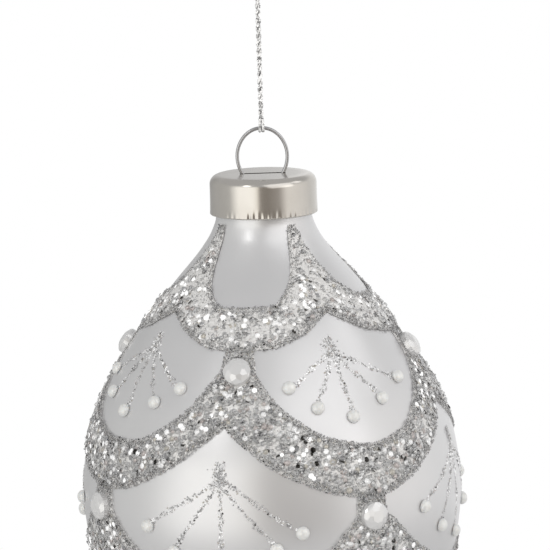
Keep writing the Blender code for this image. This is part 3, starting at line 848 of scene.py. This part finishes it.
WIRE_RADIUS = 0.0004
RING_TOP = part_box("wire_hanger")[1].z - WIRE_RADIUS
RING_HALF_WIDTH = 0.0056
RING_HALF_HEIGHT = 0.0064
LEG_LENGTH = CAP_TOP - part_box("wire_hanger")[0].z
LEG_BEND_DEPTH = 0.0018
LEG_CLEARANCE = 0.0003
LEG_SHAPE = ((0.0, 0.0), (0.13, 0.12), (0.32, 0.62), (0.52, 0.95), (0.74, 1.0), (0.9, 0.93), (1.0, 0.75))


def sweep(name, route, radius, sides, lobes=0, turns_per_mm=0.0):
    """A solid strand along a route, with round ends. Lobes give it the twisted look of a plied thread."""
    route = np.asarray(route, float)
    along = np.gradient(route, axis=0)
    along /= np.linalg.norm(along, axis=1, keepdims=True)
    travelled = np.concatenate(([0.0], np.cumsum(np.linalg.norm(np.diff(route, axis=0), axis=1))))
    side = np.cross(along[0], (0.31, 0.87, 0.38))
    rings = []
    for place, direction, length in zip(route, along, travelled):
        side = side - direction * (side @ direction)
        side /= np.linalg.norm(side)
        other = np.cross(direction, side)
        turn_angles = 2 * math.pi * np.arange(sides) / sides
        bulge = radius * (1 + 0.2 * np.cos(lobes * turn_angles)) if lobes else np.full(sides, radius)
        turn_angles = turn_angles + 2 * math.pi * turns_per_mm * length * 1000
        outward = np.cos(turn_angles)[:, None] * side + np.sin(turn_angles)[:, None] * other
        rings.append(place + bulge[:, None] * outward)
    shape = bmesh.new()
    reach = along * radius * 0.6
    tips = [shape.verts.new(route[0] - reach[0]), shape.verts.new(route[-1] + reach[-1])]
    loops = [[shape.verts.new(point) for point in ring] for ring in rings]
    marks = shape.loops.layers.uv.new("run")
    for step, (ring, following) in enumerate(zip(loops, loops[1:])):
        for corner in range(sides):
            after = (corner + 1) % sides
            face = shape.faces.new((ring[corner], ring[after], following[after], following[corner]))
            for loop, (turn_share, place) in zip(face.loops, ((0, 0), (1, 0), (1, 1), (0, 1))):
                loop[marks].uv = ((corner + turn_share) / sides, travelled[step + place] * 1000)
            face.smooth = True
    for corner in range(sides):
        after = (corner + 1) % sides
        shape.faces.new((loops[0][after], loops[0][corner], tips[0])).smooth = True
        shape.faces.new((loops[-1][corner], loops[-1][after], tips[1])).smooth = True
    mesh = bpy.data.meshes.new(name)
    shape.to_mesh(mesh)
    shape.free()
    return put(name, mesh)


def smooth_route(points, steps):
    """Points along a Catmull-Rom curve through the given ones, with this many steps to each span."""
    points = np.asarray(points, float)
    ends = np.concatenate(([2 * points[0] - points[1]], points, [2 * points[-1] - points[-2]]))
    route = []
    for before, start, end, after in zip(ends, ends[1:], ends[2:], ends[3:]):
        for t in np.arange(steps) / steps:
            square = 2 * before - 5 * start + 4 * end - after
            cube = 3 * start - before - 3 * end + after
            bend = square * t**2 + cube * t**3
            route.append(0.5 * (2 * start + (end - before) * t + bend))
    return np.array([*route, points[-1]])


def hanger_route():
    foot_angle = math.acos((RING_HALF_HEIGHT - (RING_TOP - CAP_TOP)) / RING_HALF_HEIGHT)
    turns = np.linspace(-foot_angle, foot_angle, 61)
    middle = RING_TOP - RING_HALF_HEIGHT
    heights = middle + RING_HALF_HEIGHT * np.cos(turns)
    ring = np.stack([RING_HALF_WIDTH * np.sin(turns), 0 * turns, heights], 1)
    foot = ring[-1][0]
    spread = NECK_RADIUS - GLASS_WALL - LEG_CLEARANCE - WIRE_RADIUS - foot
    length = LEG_LENGTH - LEG_BEND_DEPTH
    points = [(foot + out * spread, 0.0, CAP_TOP - LEG_BEND_DEPTH - down * length) for down, out in LEG_SHAPE]
    leg = smooth_route([ring[-1], *points], 8)[1:]
    return np.concatenate([(leg * (-1, 1, 1))[::-1], ring, leg])


def wire_finish():
    finish, shader, add = new_finish("spring_wire", (0.45, 0.45, 0.46), 0.2, 1.0)
    run = add("UVMap")
    run.uv_map = "run"
    stretch = add("Mapping", (run.outputs["UV"], "Vector"), Scale=(18.0, 0.35, 1.0))
    drawn = add("TexNoise", (stretch.outputs["Vector"], "Vector"), Scale=4.0, Detail=3.0)
    ramp = blend_colours(add, drawn.outputs["Fac"], (0.36, 0.36, 0.37), (0.52, 0.52, 0.53), 0.3, 0.7)
    link(ramp, "Color", shader, "Base Color")
    gloss = add("MapRange", (drawn.outputs["Fac"], "Value"), To_Min=0.16, To_Max=0.32)
    link(gloss, "Result", shader, "Roughness")
    return finish


hanger = sweep("wire_ring", hanger_route(), WIRE_RADIUS, 16)
hanger.data.materials.append(wire_finish())
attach(hanger, "hanger")
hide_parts("wire_hanger")

# --------------------------------------------------------------------------------
# The cord. A thin silver thread, doubled through the ring and twisted on itself up to a small knot, above
# which it opens into the loop that goes over a hook or a twig.

THREAD_RADIUS = 0.00029
THREAD_TURNS_PER_MM = 0.9
TWIST_RADIUS = 0.00033
TWIST_PITCH = 0.0034
KNOT_LOW, KNOT_HIGH = (corner.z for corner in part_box("cord_knot"))
KNOT_Z = (KNOT_LOW + KNOT_HIGH) / 2
KNOT_SIZE = 0.00034
CORD_FOOT = RING_TOP + 0.0018
BIGHT_SIDE = 0.00036
BIGHT_ROUTE = (
    (0.2, -0.42, 2.6),
    (0.8, -0.60, 1.7),
    (1.0, -0.70, 0.8),
    (1.0, -0.71, 0.0),
    (1.0, -0.50, -0.5),
    (1.0, 0.00, -0.71),
    (1.0, 0.50, -0.5),
    (1.0, 0.71, 0.0),
    (1.0, 0.70, 0.8),
    (0.8, 0.60, 1.7),
    (0.2, 0.42, 2.6),
)
EYE_ROUTE = (
    (-0.0005, -0.0270),
    (-0.0018, -0.0232),
    (-0.0040, -0.0180),
    (-0.0060, -0.0120),
    (-0.0066, -0.0070),
    (-0.0054, -0.0027),
    (-0.0029, -0.0004),
    (0.0000, 0.0003),
    (0.0029, -0.0004),
    (0.0054, -0.0027),
    (0.0066, -0.0070),
    (0.0060, -0.0120),
    (0.0040, -0.0180),
    (0.0018, -0.0232),
    (0.0005, -0.0270),
)


def thread_finish():
    """Silvered film round a core: painted glints, painted shade in the twist's gaps and a faint painted glow.
    """
    finish, shader, add = new_finish("silver_thread", (0.97, 0.97, 0.97), 0.28, 0.1, Emission_Strength=0.2)
    run = add("UVMap")
    run.uv_map = "run"
    slant = add("Mapping", (run.outputs["UV"], "Vector"), Scale=(1.0, 2.6, 1.0))
    wraps = add("TexWave", (slant.outputs["Vector"], "Vector"), Scale=1.0, Distortion=0.6)
    wraps.wave_type = "BANDS"
    wraps.bands_direction = "DIAGONAL"
    bump = add("Bump", (wraps.outputs["Fac"], "Height"), Strength=0.5, Distance=0.00005)
    link(bump, "Normal", shader, "Normal")
    place = add("TexCoord").outputs["Object"]
    # Painted glints: random cells of white and grey film.
    painted_glints = add("TexVoronoi", (place, "Vector"), Scale=2600.0)
    film = add("ValToRGB", (painted_glints.outputs["Color"], "Fac"))
    film.color_ramp.interpolation = "CONSTANT"
    film.color_ramp.elements[0].color = (0.20, 0.20, 0.205, 1.0)
    for position, grey in ((0.24, 0.40), (0.42, 0.72), (0.62, 1.0)):
        film.color_ramp.elements.new(position).color = (grey, grey, grey, 1.0)
    # Painted shade: darker where the plies crowd each other in the gaps of the twist.
    occlusion = add("AmbientOcclusion", Distance=0.0008)
    painted_gap_shade = blend_colours(add, occlusion.outputs["AO"], (0.02, 0.02, 0.025), (1.0, 1.0, 1.0), 0.28, 0.62)
    film_and_painted_shade = add("Mix", Factor=1.0)
    film_and_painted_shade.data_type = "RGBA"
    film_and_painted_shade.blend_type = "MULTIPLY"
    link(film, "Color", film_and_painted_shade, "A")
    link(painted_gap_shade, "Color", film_and_painted_shade, "B")
    link(film_and_painted_shade, "Result", shader, "Base Color")
    # The thread glows faintly in this colour: painted light.
    link(film_and_painted_shade, "Result", shader, "Emission Color")
    return finish


def thread(name, route, radius=THREAD_RADIUS):
    """A thread of three plies along a route."""
    return sweep(name, route, radius, 12, 3, THREAD_TURNS_PER_MM)


def twisted_pair(name, path):
    """Two threads twisted about each other along a path."""
    travelled = np.concatenate(([0.0], np.cumsum(np.linalg.norm(np.diff(path, axis=0), axis=1))))
    turns = 2 * math.pi * travelled / TWIST_PITCH
    made = []
    for start in (0.0, math.pi):
        offset = TWIST_RADIUS * np.stack([np.cos(turns + start), np.sin(turns + start), 0 * turns], 1)
        made.append(thread(name, path + offset))
    return joined(name, made)


thread_look = thread_finish()
cord_path = np.stack([np.zeros(221), np.zeros(221), np.linspace(CORD_FOOT, KNOT_Z, 221)], 1)
cord = twisted_pair("twisted_cord", cord_path)
turns_round_ring = []
for side in (-BIGHT_SIDE, BIGHT_SIDE):
    route = smooth_route(np.array(BIGHT_ROUTE) * (side, 0.001, 0.001) + (0, 0, RING_TOP), 8)
    turns_round_ring.append(thread("turn", route))
bight = joined("cord_turn", turns_round_ring)
around = np.linspace(0, 2 * math.pi, 121)[:-1]
knot_x = np.sin(around) + 2 * np.sin(2 * around)
knot_y = 1.1 * np.sin(3 * around)
knot_z = np.cos(around) - 2 * np.cos(2 * around)
knot_route = np.stack([knot_x, knot_y, knot_z], 1) * KNOT_SIZE + (0, 0, KNOT_Z)
knot = thread("tied_knot", knot_route, THREAD_RADIUS * 1.25)
eye_path = smooth_route([(x, 0.0, z) for x, z in EYE_ROUTE], 14)
eye = thread("cord_loop", eye_path)
for piece, body, node in ((cord, "cord", "hanging_cord"), (bight, "cord", "cord_bight")):
    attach(piece, body)
    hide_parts(node)
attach(knot, "knot")
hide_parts("cord_knot")
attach(eye, "loop")
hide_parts("cord_eye")
for piece in (cord, bight, knot, eye):
    piece.data.materials.clear()
    piece.data.materials.append(thread_look)

# --------------------------------------------------------------------------------
# The studio. A plain white floor in a white room: a tall soft box on the left, a wide window of light on the
# right, and between them the dim end of the room, which gives the cap its dark middle. Three lamps add to it.

FLOOR_Z = TIP_Z - 0.10
ROOM = (
    (-180, (0.66, 0.66, 0.66)),
    (-152, (0.46, 0.46, 0.455)),
    (-122, (0.60, 0.60, 0.59)),
    (-78, (0.66, 0.66, 0.645)),
    (-56, (1.48, 1.46, 1.41)),
    (-22, (1.52, 1.50, 1.44)),
    (-13, (1.30, 1.25, 1.15)),
    (-8, (0.36, 0.33, 0.30)),
    (8, (0.33, 0.30, 0.27)),
    (34, (0.46, 0.43, 0.40)),
    (52, (1.10, 1.07, 1.03)),
    (96, (1.00, 0.98, 0.96)),
    (122, (0.86, 0.86, 0.855)),
    (180, (0.66, 0.66, 0.66)),
)
CEILING = (0.58, 0.58, 0.58)
CEILING_FADE = (0.30, 0.60)
BELOW = (0.62, 0.62, 0.62)
BELOW_FADE = (-0.35, -0.75)
LAMP_AIM = Vector((0, 0, -0.12))


def floor_finish():
    """Matt white that lights the ornament as a floor does, and is seen as pure white."""
    finish, shader, add = new_finish("white_floor", (0.80, 0.80, 0.80), 0.7)
    glow = add("Emission", Color=(1.0, 1.0, 1.0, 1.0), Strength=1.0)
    to_camera = add("LightPath").outputs["Is Camera Ray"]
    mix = add("MixShader", (to_camera, "Fac"), (shader.outputs["BSDF"], 1), (glow.outputs["Emission"], 2))
    link(mix, "Shader", finish.node_tree.nodes["Material Output"], "Surface")
    return finish


def light_room():
    """Lights the room by bearing, fading to an even ceiling and floor, and shows it as plain white."""
    world = bpy.data.worlds.new("studio")
    bpy.context.scene.world = world
    world.use_nodes = True
    nodes = world.node_tree.nodes
    add = adder(world.node_tree)
    split = add("SeparateXYZ", (add("TexCoord").outputs["Generated"], "Vector"))
    front = add("Math", (split.outputs["Y"], 0))
    front.operation = "MULTIPLY"
    front.inputs[1].default_value = -1.0
    bearing = add("Math", (split.outputs["X"], 0), (front.outputs[0], 1))
    bearing.operation = "ARCTAN2"
    share = add("MapRange", (bearing.outputs[0], "Value"), From_Min=-math.pi, From_Max=math.pi)
    walls = add("ValToRGB", (share.outputs["Result"], "Fac"))
    elements = walls.color_ramp.elements
    for place, (angle, colour) in enumerate(ROOM):
        element = elements[place] if place < 1 else elements.new((angle + 180) / 360)
        element.position = (angle + 180) / 360
        element.color = (*colour, 1.0)
    shade = (walls, "Color")
    for low, high, colour in ((*CEILING_FADE, CEILING), (*BELOW_FADE, BELOW)):
        height = add("MapRange", (split.outputs["Z"], "Value"), From_Min=low, From_Max=high)
        height.interpolation_type = "SMOOTHSTEP"
        mix = add("Mix", (height.outputs["Result"], "Factor"))
        mix.data_type = "RGBA"
        link(*shade, mix, "A")
        mix.inputs["B"].default_value = (*colour, 1.0)
        shade = (mix, "Result")
    lit = nodes["Background"]
    link(*shade, lit, "Color")
    plain = add("Background", Color=(1.0, 1.0, 1.0, 1.0))
    to_camera = add("LightPath").outputs["Is Camera Ray"]
    seen = add("MixShader", (to_camera, "Fac"), (lit.outputs[0], 1), (plain.outputs[0], 2))
    link(seen, "Shader", nodes["World Output"], "Surface")


def soft_light(name, bearing, height, distance, size, radiance, colour):
    """A lamp with a wide face at a bearing from the front, positive to the right, facing the ornament."""
    lamp = bpy.data.lights.new(name, "AREA")
    lamp.shape = "RECTANGLE"
    lamp.size, lamp.size_y = size
    lamp.energy = radiance * math.pi * size[0] * size[1]
    lamp.color = colour
    holder = put(name, lamp)
    angle = math.radians(bearing)
    holder.location = (distance * math.sin(angle), -distance * math.cos(angle), height)
    holder.rotation_euler = (LAMP_AIM - holder.location).to_track_quat("-Z", "Y").to_euler()


deselect()
bpy.ops.mesh.primitive_circle_add(vertices=96, radius=0.8, fill_type="NGON", location=(0, 0, FLOOR_Z))
floor = bpy.context.object
floor.name = "floor"
floor.data.materials.append(floor_finish())
light_room()
soft_light("high_right", 40.0, 0.75, 1.3, (1.6, 1.3), 0.75, (1.0, 0.99, 0.98))
soft_light("small_right", 95.0, 0.75, 1.0, (0.40, 0.40), 0.9, (1.0, 0.99, 0.98))
soft_light("small_left", -40.0, 0.75, 1.1, (0.30, 0.30), 3.0, (1.0, 0.99, 0.97))
bpy.context.scene.view_settings.view_transform = "Standard"

# The camera stands a little above the cap and looks down along the ornament through a long lens.
CAMERA_DISTANCE = 0.666
CAMERA_HEIGHT = 0.0924
CAMERA_SIDE = 0.00205
CAMERA_PITCH = math.radians(9.85)
CAMERA_ROLL = math.atan(0.03)
CAMERA_LENS = 196.4
camera = put("camera", bpy.data.cameras.new("camera"))
camera.data.lens = CAMERA_LENS
camera.data.sensor_width = 36.0
camera.data.clip_start = 0.01
ahead = Vector((0.0, math.cos(CAMERA_PITCH), -math.sin(CAMERA_PITCH)))
above = Vector((0.0, math.sin(CAMERA_PITCH), math.cos(CAMERA_PITCH)))
right = Vector((1.0, 0.0, 0.0))
cos_roll, sin_roll = math.cos(CAMERA_ROLL), math.sin(CAMERA_ROLL)
axes = Matrix((right * cos_roll - above * sin_roll, right * sin_roll + above * cos_roll, -ahead)).transposed()
stand = Matrix.Translation((CAMERA_SIDE, -CAMERA_DISTANCE, CAP_TOP + CAMERA_HEIGHT))
camera.matrix_world = stand @ axes.to_4x4()
bpy.context.scene.camera = camera
